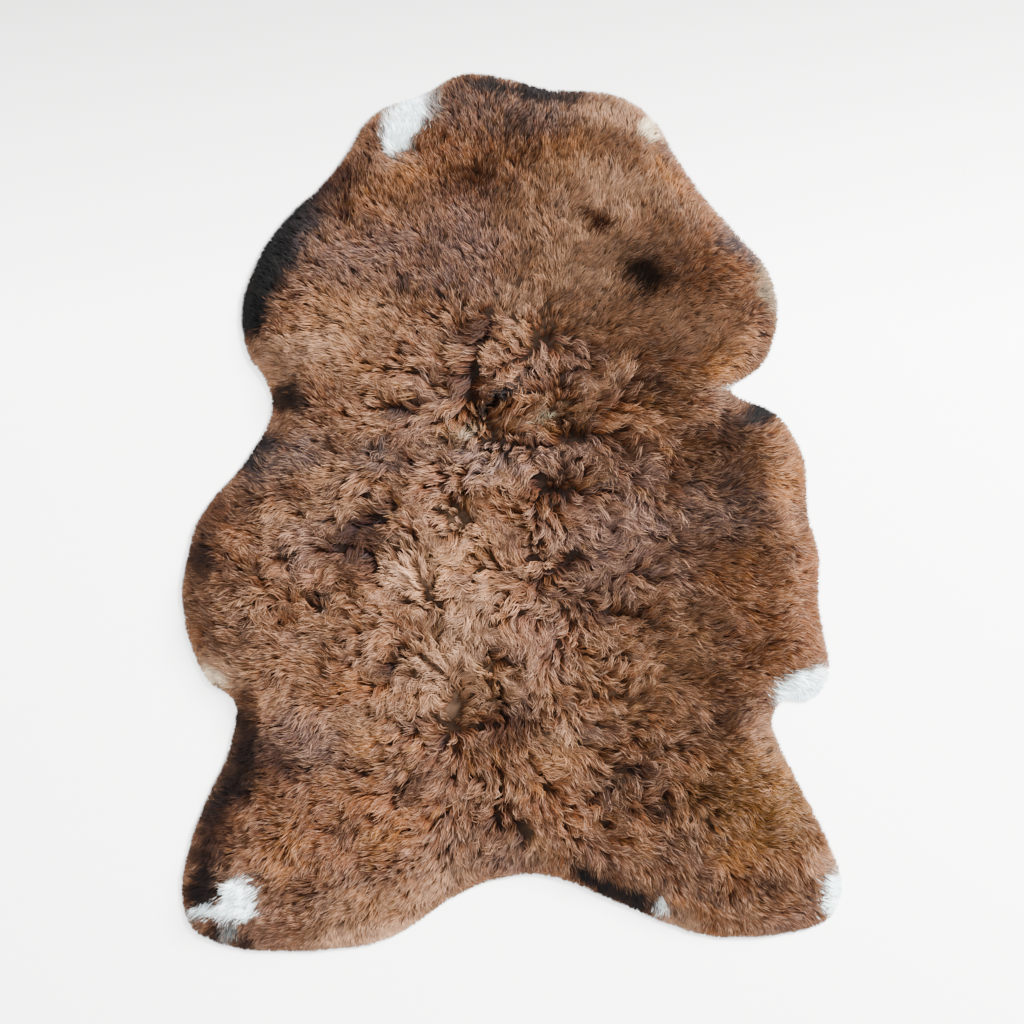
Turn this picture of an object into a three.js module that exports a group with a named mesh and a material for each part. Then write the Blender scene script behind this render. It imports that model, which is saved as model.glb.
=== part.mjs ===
// A shorn sheepskin: one whole pelt that lies flat with its wool side up.
// Millimetres, +Z up, +Y towards the neck end, origin on the floor under the middle of the pelt.
import * as THREE from "three";

// Wool heights over the floor, hide included
const RIM_HEIGHT = 11;
const NECK_HEIGHT = 27;
const BACK_HEIGHT = 34;
const RISE_RUN = 44;
const BACK_TOP_Y = 150;
const NECK_BASE_Y = 290;

// Locks round the rim, each fused to the pelt by its root
const LOCK_COUNT = 224;
const RIM_INSET = 13;
const LOCK_SPREAD = 4;
const LOCK_SWAY = 3;
const LOCK_MIDDLE = 0.52;
const LOCK_MIDDLE_WIDTH = 0.68;
const LOCK_MIDDLE_HEIGHT = 0.72;

// The rings of the wool's surface close on this point
const RING_CENTRE = new THREE.Vector2(-20, 20);

// How often the rim's corners are rounded, and those of each ring inside it
const RIM_ROUNDING = 1;
const RING_ROUNDING = 2;

// The steps in which the edge's length is measured
const EDGE_DIVISIONS = 2000;

// The wool side's colour and finish
const WOOL_COLOUR = 0x815e4a;
const WOOL_ROUGHNESS = 0.92;
const WOOL_METALNESS = 0;

// The pelt's edge, anticlockwise from the notch behind the right shoulder, as seen from above
const EDGE = [
  { at: "right notch", x: 231, y: 133 },
  { at: "right notch high side", x: 256, y: 149 },
  { at: "right shoulder low", x: 277, y: 167 },
  { at: "right shoulder", x: 289, y: 218 },
  { at: "right shoulder top", x: 277, y: 268 },
  { at: "right neck base", x: 229, y: 320 },
  { at: "right neck", x: 182, y: 380 },
  { at: "right ear", x: 151, y: 433 },
  { at: "right brow", x: 106, y: 458 },
  { at: "brow dip", x: 40, y: 463 },
  { at: "crown", x: -52, y: 481 },
  { at: "crown dip", x: -97, y: 457 },
  { at: "left ear", x: -152, y: 438 },
  { at: "left neck", x: -177, y: 400 },
  { at: "left neck base", x: -200, y: 366 },
  { at: "left shoulder top", x: -260, y: 309 },
  { at: "left shoulder", x: -299, y: 222 },
  { at: "left shoulder low", x: -292, y: 178 },
  { at: "left armpit top", x: -263, y: 128 },
  { at: "left armpit", x: -266, y: 98 },
  { at: "left flank top", x: -304, y: 41 },
  { at: "left flank high", x: -345, y: -9 },
  { at: "left flank", x: -363, y: -95 },
  { at: "left flank low", x: -355, y: -140 },
  { at: "left tuft", x: -331, y: -191 },
  { at: "left tuft inside", x: -306, y: -201 },
  { at: "left groin", x: -303, y: -230 },
  { at: "left thigh", x: -318, y: -280 },
  { at: "left thigh low", x: -352, y: -357 },
  { at: "left hock", x: -363, y: -425 },
  { at: "left foot", x: -349, y: -462 },
  { at: "left foot low", x: -289, y: -480 },
  { at: "left rump", x: -200, y: -479 },
  { at: "left rump end", x: -146, y: -471 },
  { at: "tail arch left foot", x: -102, y: -446 },
  { at: "tail arch left", x: -55, y: -414 },
  { at: "tail arch top left", x: -7, y: -399 },
  { at: "tail arch top right", x: 42, y: -398 },
  { at: "tail arch right", x: 114, y: -428 },
  { at: "right rump end", x: 163, y: -448 },
  { at: "right rump", x: 201, y: -462 },
  { at: "right rump low", x: 252, y: -466 },
  { at: "right foot low", x: 318, y: -458 },
  { at: "right foot", x: 354, y: -438 },
  { at: "right hock", x: 360, y: -405 },
  { at: "right thigh low", x: 338, y: -349 },
  { at: "right thigh", x: 298, y: -273 },
  { at: "right groin", x: 281, y: -225 },
  { at: "right tuft inside", x: 303, y: -200 },
  { at: "right tuft", x: 322, y: -211 },
  { at: "right tuft tip", x: 343, y: -188 },
  { at: "right tuft top", x: 343, y: -150 },
  { at: "right flank low", x: 334, y: -110 },
  { at: "right flank", x: 333, y: -38 },
  { at: "right flank step", x: 323, y: -12 },
  { at: "right flank high", x: 317, y: 60 },
  { at: "right flank top", x: 289, y: 106 },
  { at: "right notch low side", x: 259, y: 119 },
];

// Partings where the wool falls open, each a soft trough
const PARTINGS = [
  { at: "withers", x: -38, y: 160, bearing: 70, length: 62, width: 15, depth: 9 },
  { at: "withers right", x: 8, y: 168, bearing: 35, length: 48, width: 14, depth: 7 },
  { at: "left of withers", x: -118, y: 112, bearing: 8, length: 40, width: 14, depth: 8 },
  { at: "back right", x: 68, y: 78, bearing: 12, length: 46, width: 14, depth: 8 },
  { at: "left loin", x: -146, y: -12, bearing: 32, length: 70, width: 15, depth: 9 },
  { at: "left loin curl", x: -138, y: -66, bearing: 110, length: 40, width: 14, depth: 8 },
  { at: "left flank", x: -205, y: -96, bearing: 118, length: 36, width: 13, depth: 7 },
  { at: "mid back", x: 44, y: -66, bearing: 40, length: 42, width: 14, depth: 8 },
  { at: "right loin", x: 122, y: -116, bearing: 155, length: 44, width: 14, depth: 7 },
  { at: "left hip", x: -126, y: -174, bearing: 42, length: 46, width: 14, depth: 7 },
  { at: "rump whorl", x: -20, y: -226, bearing: 20, length: 50, width: 18, depth: 9 },
  { at: "right hip", x: 112, y: -286, bearing: 33, length: 70, width: 14, depth: 7 },
  { at: "tail root", x: -8, y: -334, bearing: 165, length: 48, width: 15, depth: 7 },
];

// Waves whose sum makes the wool lumpy
const LUMPS = [
  { wavelength: 131, bearing: 24, phase: 0.4, height: 1.7 },
  { wavelength: 97, bearing: 103, phase: 2.1, height: 1.7 },
  { wavelength: 74, bearing: 158, phase: 4.0, height: 1.5 },
  { wavelength: 61, bearing: 66, phase: 1.2, height: 1.3 },
];

// Rings from the rim to the middle: each row runs in to a share of the rim's distance from the centre,
// in so many steps, and each row after the first has half as many points as the one before
const RINGS = [
  { inTo: 0.74, steps: 7 },
  { inTo: 0.4, steps: 9 },
  { inTo: 0.2, steps: 5 },
  { inTo: 0.07, steps: 3 },
];

// Steps of two even spreads that never repeat, so no two neighbouring locks are alike
const REACH_STEP = 0.618034;
const SWAY_STEP = 0.754878;

// A value from -1 to 1 that differs from one lock to the next
function uneven(index, step) {
  return 2 * ((index * step) % 1) - 1;
}

// Unit vector along a bearing in degrees, from +X towards +Y
function along(bearing) {
  const angle = THREE.MathUtils.degToRad(bearing);
  return new THREE.Vector2(Math.cos(angle), Math.sin(angle));
}

// Points on the pelt's edge, two for each lock: its first root corner, then its tip
function edgePoints() {
  const corners = EDGE.map(({ x, y }) => new THREE.Vector3(x, y, 0));
  const curve = new THREE.CatmullRomCurve3(corners, true, "centripetal");
  curve.arcLengthDivisions = EDGE_DIVISIONS;
  const spaced = curve.getSpacedPoints(2 * LOCK_COUNT).slice(0, -1);
  return spaced.map(({ x, y }) => new THREE.Vector2(x, y));
}

// Direction out of the pelt at one of its edge points
function outward(points, index) {
  const before = points.at(index - 1);
  const after = points[(index + 1) % points.length];
  return new THREE.Vector2(after.y - before.y, before.x - after.x).normalize();
}

// A closed line with each point moved halfway to the middle of its two neighbours, once in each pass
function rounded(points, passes) {
  if (passes === 0) {
    return points;
  }
  const moved = points.map((point, i) => {
    const neighbours = points.at(i - 1).clone().add(points[(i + 1) % points.length]);
    return neighbours.divideScalar(2).lerp(point, 1 / 2);
  });
  return rounded(moved, passes - 1);
}

// Where the wool meets the locks: the edge, drawn in by the locks' reach and rounded
function rimPoints(edge) {
  const rim = [];
  for (let i = 0; i < edge.length; i += 2) {
    rim.push(edge[i].clone().addScaledVector(outward(edge, i), -RIM_INSET));
  }
  return rounded(rim, RIM_ROUNDING);
}

// Distance from a point to a straight piece of the rim
function distanceToPiece(point, start, end) {
  const run = end.clone().sub(start);
  const offset = point.clone().sub(start);
  const share = THREE.MathUtils.clamp(offset.dot(run) / run.lengthSq(), 0, 1);
  return offset.addScaledVector(run, -share).length();
}

function distanceToRim(point, rim) {
  const distances = rim.map((start, i) => distanceToPiece(point, start, rim[(i + 1) % rim.length]));
  return Math.min(...distances);
}

// Depth of one parting at a point: full along its line, and fading over its width and past its ends
function partingDepth(point, { x, y, bearing, length, width, depth }) {
  const line = along(bearing);
  const offset = point.clone().sub(new THREE.Vector2(x, y));
  const pastEnd = Math.max(Math.abs(offset.dot(line)) - length / 2, 0);
  const aside = offset.cross(line);
  return depth * Math.exp(-(aside * aside + pastEnd * pastEnd) / (width * width));
}

function lumpHeight(point) {
  return LUMPS.reduce((sum, { wavelength, bearing, phase, height }) => {
    const travel = (2 * Math.PI * point.dot(along(bearing))) / wavelength;
    return sum + height * Math.sin(travel + phase);
  }, 0);
}

// Height of the wool over the floor: low at the rim, full over the back, shorter towards the neck
function woolHeight(point, rim) {
  const inward = Math.min(distanceToRim(point, rim) / RISE_RUN, 1);
  const rise = inward * (2 - inward);
  const neck = THREE.MathUtils.smoothstep(point.y, BACK_TOP_Y, NECK_BASE_Y);
  const full = THREE.MathUtils.lerp(BACK_HEIGHT, NECK_HEIGHT, neck);
  const partings = PARTINGS.reduce((sum, parting) => sum + partingDepth(point, parting), 0);
  return RIM_HEIGHT + rise * (full - RIM_HEIGHT + lumpHeight(point) - partings);
}

// A growing list of corners and triangles
class Skin {
  corners = [];
  triangles = [];

  corner(point, height) {
    this.corners.push(point.x, point.y, height);
    return this.corners.length / 3 - 1;
  }

  triangle(a, b, c) {
    this.triangles.push(a, b, c);
  }

  quad(a, b, c, d) {
    this.triangle(a, b, c);
    this.triangle(a, c, d);
  }

  geometry() {
    const made = new THREE.BufferGeometry();
    made.setAttribute("position", new THREE.Float32BufferAttribute(this.corners, 3));
    made.setIndex(this.triangles);
    made.computeBoundingBox();
    const middle = made.boundingBox.getCenter(new THREE.Vector3());
    made.translate(-middle.x, -middle.y, 0);
    made.computeVertexNormals();
    return made;
  }
}

// Joins a ring to the next one in, which has as many corners or half as many
function joinRings(skin, outer, inner) {
  const halved = outer.length > inner.length;
  inner.forEach((corner, i) => {
    const next = inner[(i + 1) % inner.length];
    if (!halved) {
      skin.quad(outer[i], outer[(i + 1) % outer.length], next, corner);
      return;
    }
    const first = outer[2 * i];
    const middle = outer[2 * i + 1];
    const last = outer[(2 * i + 2) % outer.length];
    skin.triangle(first, middle, corner);
    skin.triangle(middle, next, corner);
    skin.triangle(middle, last, next);
  });
}

// The wool's surface, from its outer ring of corners to the middle
function addWool(skin, rim, rimTop) {
  let line = rim;
  let outer = rimTop;
  let reach = 1;
  for (const { inTo, steps } of RINGS) {
    const stride = (reach - inTo) / steps;
    for (let step = 0; step < steps; step += 1) {
      const share = (reach - stride) / reach;
      const drawnIn = line.map((point) => RING_CENTRE.clone().lerp(point, share));
      line = rounded(drawnIn, RING_ROUNDING);
      const inner = line.map((point) => skin.corner(point, woolHeight(point, rim)));
      joinRings(skin, outer, inner);
      outer = inner;
      reach -= stride;
    }
    line = line.filter((_, i) => i % 2 === 0);
  }
  const middle = skin.corner(RING_CENTRE, woolHeight(RING_CENTRE, rim));
  outer.forEach((corner, i) => skin.triangle(corner, outer[(i + 1) % outer.length], middle));
}

// The flat flesh side, which lies on the floor
function addUnderside(skin, floor) {
  const middle = skin.corner(RING_CENTRE, 0);
  floor.forEach((corner, i) => skin.triangle(middle, floor[(i + 1) % floor.length], corner));
}

// One lock: a four-sided tuft that leaves the rim, bends a little and tapers to a tip on the floor
function addLock(skin, index, edge, rim, root) {
  const start = rim[index];
  const end = rim[(index + 1) % rim.length];
  const out = outward(edge, 2 * index + 1);
  const aside = new THREE.Vector2(-out.y, out.x);
  const base = start.clone().add(end).multiplyScalar(1 / 2);
  const tip = edge[2 * index + 1].clone();
  const room = Math.min(base.distanceTo(tip) / RIM_INSET, 1);
  const sway = LOCK_SWAY * room * uneven(index, SWAY_STEP);
  tip.addScaledVector(out, (LOCK_SPREAD * (1 + uneven(index, REACH_STEP))) / 2);
  tip.addScaledVector(aside, sway);
  const centre = base.lerp(tip, LOCK_MIDDLE).addScaledVector(aside, -sway / 2);
  const half = end.clone().sub(start).multiplyScalar(LOCK_MIDDLE_WIDTH / 2);
  const left = centre.clone().sub(half);
  const right = centre.clone().add(half);
  const top = RIM_HEIGHT * LOCK_MIDDLE_HEIGHT;
  const middle = [
    skin.corner(left, 0),
    skin.corner(right, 0),
    skin.corner(right, top),
    skin.corner(left, top),
  ];
  const point = skin.corner(tip, 0);
  root.forEach((corner, side) => {
    const next = (side + 1) % root.length;
    skin.quad(corner, root[next], middle[next], middle[side]);
    skin.triangle(middle[side], middle[next], point);
  });
}

// The whole pelt as one closed skin
function peltGeometry() {
  const skin = new Skin();
  const edge = edgePoints();
  const rim = rimPoints(edge);
  const floor = rim.map((point) => skin.corner(point, 0));
  const rimTop = rim.map((point) => skin.corner(point, RIM_HEIGHT));
  addUnderside(skin, floor);
  addWool(skin, rim, rimTop);
  rim.forEach((_, i) => {
    const next = (i + 1) % rim.length;
    addLock(skin, i, edge, rim, [floor[i], floor[next], rimTop[next], rimTop[i]]);
  });
  return skin.geometry();
}

const wool = new THREE.MeshStandardMaterial({
  color: WOOL_COLOUR,
  roughness: WOOL_ROUGHNESS,
  metalness: WOOL_METALNESS,
});

const sheepskin = new THREE.Mesh(peltGeometry(), wool);
sheepskin.name = "sheepskin";

const pelt = new THREE.Group();
pelt.add(sheepskin);

export default pelt;
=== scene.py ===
"""The looks of a shorn sheepskin: a suede hide, an undercoat and wool strand by strand over it."""

import math
from collections import namedtuple

import bpy
import numpy as np
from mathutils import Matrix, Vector
from mathutils.bvhtree import BVHTree

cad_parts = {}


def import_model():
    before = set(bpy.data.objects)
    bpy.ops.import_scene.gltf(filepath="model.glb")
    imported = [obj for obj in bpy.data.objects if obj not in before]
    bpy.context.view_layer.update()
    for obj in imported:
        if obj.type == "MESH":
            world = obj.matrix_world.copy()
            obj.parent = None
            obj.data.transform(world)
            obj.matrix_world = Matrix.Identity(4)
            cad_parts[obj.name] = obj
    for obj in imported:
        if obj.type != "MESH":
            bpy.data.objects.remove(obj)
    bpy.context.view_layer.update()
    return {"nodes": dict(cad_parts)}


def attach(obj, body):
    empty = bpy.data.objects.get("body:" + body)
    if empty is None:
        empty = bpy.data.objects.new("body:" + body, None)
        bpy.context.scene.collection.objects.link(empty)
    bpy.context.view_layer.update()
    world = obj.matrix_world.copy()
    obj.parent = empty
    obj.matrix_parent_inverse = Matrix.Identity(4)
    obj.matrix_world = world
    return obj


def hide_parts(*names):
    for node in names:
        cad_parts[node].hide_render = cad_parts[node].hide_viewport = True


# Tables and fields are in millimetres, in the part's own frame, and meshes in metres
MM = 0.001

# The camera looks straight down on the pelt, and this much floor fills its view
VIEW_SPAN = 1126
CAMERA_HEIGHT = 2400
SENSOR = 36

# The map of the pelt that the fields are worked out on
MAP_X = 400
MAP_Y = 520
MAP_STEP = 3

# Within RIM_INSET of the edge the wool rises from EDGE_TOP to RIM_TOP, and further in it follows
# the top of the CAD pelt
RIM_INSET = 13
EDGE_TOP = 3
RIM_TOP = 11
FLOOR_CLEARANCE = 0.8
ON_FLOOR = 0.05

# The hide, whose faces lie in rings round a middle point, and the undercoat
HIDE_THICKNESS = 1.8
HIDE_INSET = 6
HIDE_MIDDLE = (-20.0, 20.0)
HIDE_SHARES = (1, 0.97, 0.9, 0.8, 0.65, 0.5, 0.35, 0.2, 0.1)
HIDE_COLOUR = (0.80, 0.74, 0.64)
SUEDE_DARK = (0.70, 0.62, 0.50)
SUEDE_PALE = (0.86, 0.81, 0.72)
UNDERCOAT_INSET = 4.5
UNDERCOAT_CELL = 6
UNDERCOAT_SHARE = 0.56
UNDERCOAT_MARGIN = 6
UNDERCOAT_LUMPS = 0.8
# The undercoat's colour is darkened by these factors as painted shade between the strands, far less
# under pale wool
UNDERCOAT_PAINTED_SHADE = 0.05
PALE_UNDERCOAT_PAINTED_SHADE = 0.75

# Strands are painted dark at the root and lighter at the tip, as shade falls deep in the pile, and
# pale wool stays light all along
ROOT_PAINTED_SHADE = 0.036
NECK_ROOT_PAINTED_SHADE = 0.045
PALE_ROOT_PAINTED_SHADE = 0.55
TIP_SHADE = 0.29
PALE_TIP_SHADE = 0.71
PAINTED_SHADE_POWER = 0.85
NECK_PAINTED_SHADE_POWER = 0.3

# Warm strands are redder at the root
ROOT_HUE = np.array([1.4, 0.85, 0.45])

# Wool starts to count as pale at PALE_FROM of mean light, and fully does so PALE_OVER above that
PALE_FROM = 0.35
PALE_OVER = 0.3

# Wool darker than this gets no hue of its lock and no bleached tips
DARK = 0.02

# Each lock leans towards one of these colours
LOCK_HUES = ("rust", "olive", "plum", "tan", "umber", "slate")
LOCK_HUE_SHARE = 0.5

# How far the borders of the patches wander, in wide and in fine bends
WIDE_WANDER = 7
FINE_WANDER = 3

# Mottles of the wool: colour, cell, noise seed and strongest share
MOTTLES = (
    ("rust", 40, 21, 0.45),
    ("plum", 47, 22, 0.5),
    ("umber", 18, 23, 0.6),
    ("tan", 15, 24, 0.45),
)
MOTTLE_GAIN = 1.4

# How far the hues of the patches stand out from the brown
HUE_SPREAD = 1.3
HUE_DEPTH = 1.12

# Some strands have the colour of the wool beside them, and some have bleached tips
STRAY_SHARE = 0.1
STRAY_REACH = 10
BLEACHED_SHARE = 0.3
BLEACH = 0.45
BLEACHED_SHADE = 0.55

# The line down the back that the wool flows away from. Near it the bearing strays, and within
# RIM_PULL of the edge it turns outwards
SPINE_X = 0
SPINE_TOP = 135
SPINE_END = -215
RIM_PULL = 34
SPINE_WARP = ((46, 95, 35), (22, 34, 37))
SPINE_BREADTH = 120
ASTRAY = 1.5
RIM_TURN = 0.75
PARTING_TURN = 0.8
PARTING_WANDER = 6
LEAN_GAIN = 1.5

# How far the wool still lies over in the middle of a whorl
UPRIGHT = 0.35

# Seed of the random draws of the strands
SEED = 7

# The wool is shorter, finer and less clumped on the neck
NECK_LOW = 120
NECK_HIGH = 230
NECK_SHORTER = 0.3
NECK_FINER = 0.26

# Tufts stand higher than the wool between them, and are painted lighter, as light on their tops and
# shade between them
TUFT_PAINTED_LIGHT = 0.4
TUFT_RISE = 0.24

# How far a strand turns about its length, and how much strands and locks differ in light
ROLL = 0.55
STRAND_LIGHT = 0.11
LOCK_LIGHT = 0.1

# Where each kind of wool grows, by the distance inside the edge. The fringe points outwards
FRINGE_FROM = 4
FRINGE_TO = 13
FRINGE_SWING = 20
SHORT_FROM = 5
WAVY_FROM = 9

# No strand is cut shorter than this at the edge, and roots are sunk this deep in the undercoat
LEAST_LENGTH = 3
ROOT_DEPTH = 0.8

# The floor is painted with shade, darkest from FLOOR_DARK_AT metres along y, and pale up to
# FLOOR_PALE_AT
FLOOR_SIZE = 12
FLOOR_DROP = 0.0005
FLOOR_DARK_AT = 0.6
FLOOR_PALE_AT = 0.2
FLOOR_DARK = 0.36
FLOOR_PALE = 0.96
# The floor also glows with painted light of this strength
FLOOR_GLOW = 0.2

# Lights: name, place, size in metres and energy in watts
LIGHTS = (
    ("key", (2.7, 1.8, 1.9), 1.3, 1560),
    ("top", (-0.5, -0.3, 3.4), 2.4, 300),
)
LIGHT_COLOUR = (1.0, 0.985, 0.96)
SKY_COLOUR = (0.93, 0.96, 1.0, 1)
SKY_STRENGTH = 0.9

# Noise repeats after this many cells. Each call gives its cell in millimetres and its own seed
LATTICE = 96

Patch = namedtuple("Patch", "at x y long wide turn colour share fade")
Curl = namedtuple("Curl", "at x y long wide turn share fade")
Parting = namedtuple("Parting", "at x y bearing length width")
Coat = namedtuple("Coat", "spacing strands levels reach rise width wave bend wander scatter clump")

# Colours of the wool, as they look in sRGB
COLOURS = {
    "brown": (0.54, 0.385, 0.285),
    "rust": (0.54, 0.345, 0.215),
    "amber": (0.80, 0.55, 0.33),
    "tan": (0.74, 0.56, 0.43),
    "sand": (0.84, 0.66, 0.54),
    "olive": (0.54, 0.385, 0.20),
    "plum": (0.51, 0.395, 0.365),
    "slate": (0.36, 0.30, 0.30),
    "umber": (0.25, 0.15, 0.09),
    "black": (0.065, 0.053, 0.052),
    "cream": (0.88, 0.80, 0.68),
    "white": (0.95, 0.955, 0.95),
}
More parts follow.
